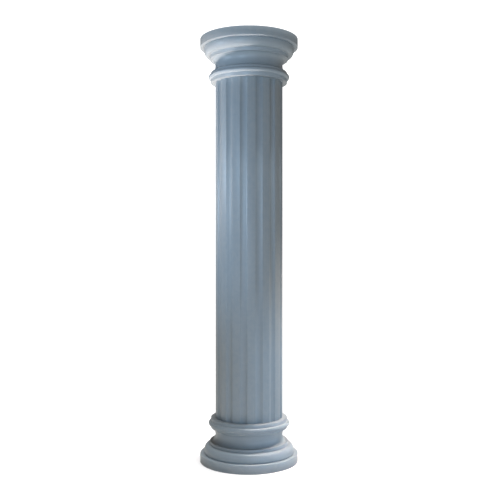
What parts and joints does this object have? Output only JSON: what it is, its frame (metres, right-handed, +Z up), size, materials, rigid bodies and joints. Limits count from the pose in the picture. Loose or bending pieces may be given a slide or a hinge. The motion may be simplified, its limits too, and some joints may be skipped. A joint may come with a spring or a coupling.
{
  "type": "doric column",
  "caption": "Round column with a straight fluted shaft, a moulded capital under a round abacus, and the same moulding turned over as its base.",
  "frame": {"origin": "middle of the base's underside, on the floor", "axes": "+Z up the column's axis; -Y is the front, with the middle of a plain strip of the shaft facing it; +X to the right"},
  "size_m": [0.58, 0.58, 2.5],
  "materials": {
    "base_stone": "cast stone, rubbed smooth and painted in a satin blue-grey",
    "shaft_stone": "cast stone, rubbed smooth and painted in a satin blue-grey",
    "capital_stone": "cast stone, rubbed smooth and painted in a satin blue-grey"
  },
  "bodies": {
    "root": {"base": "base_stone", "shaft": "shaft_stone", "capital": "capital_stone"}
  },
  "joints": []
}
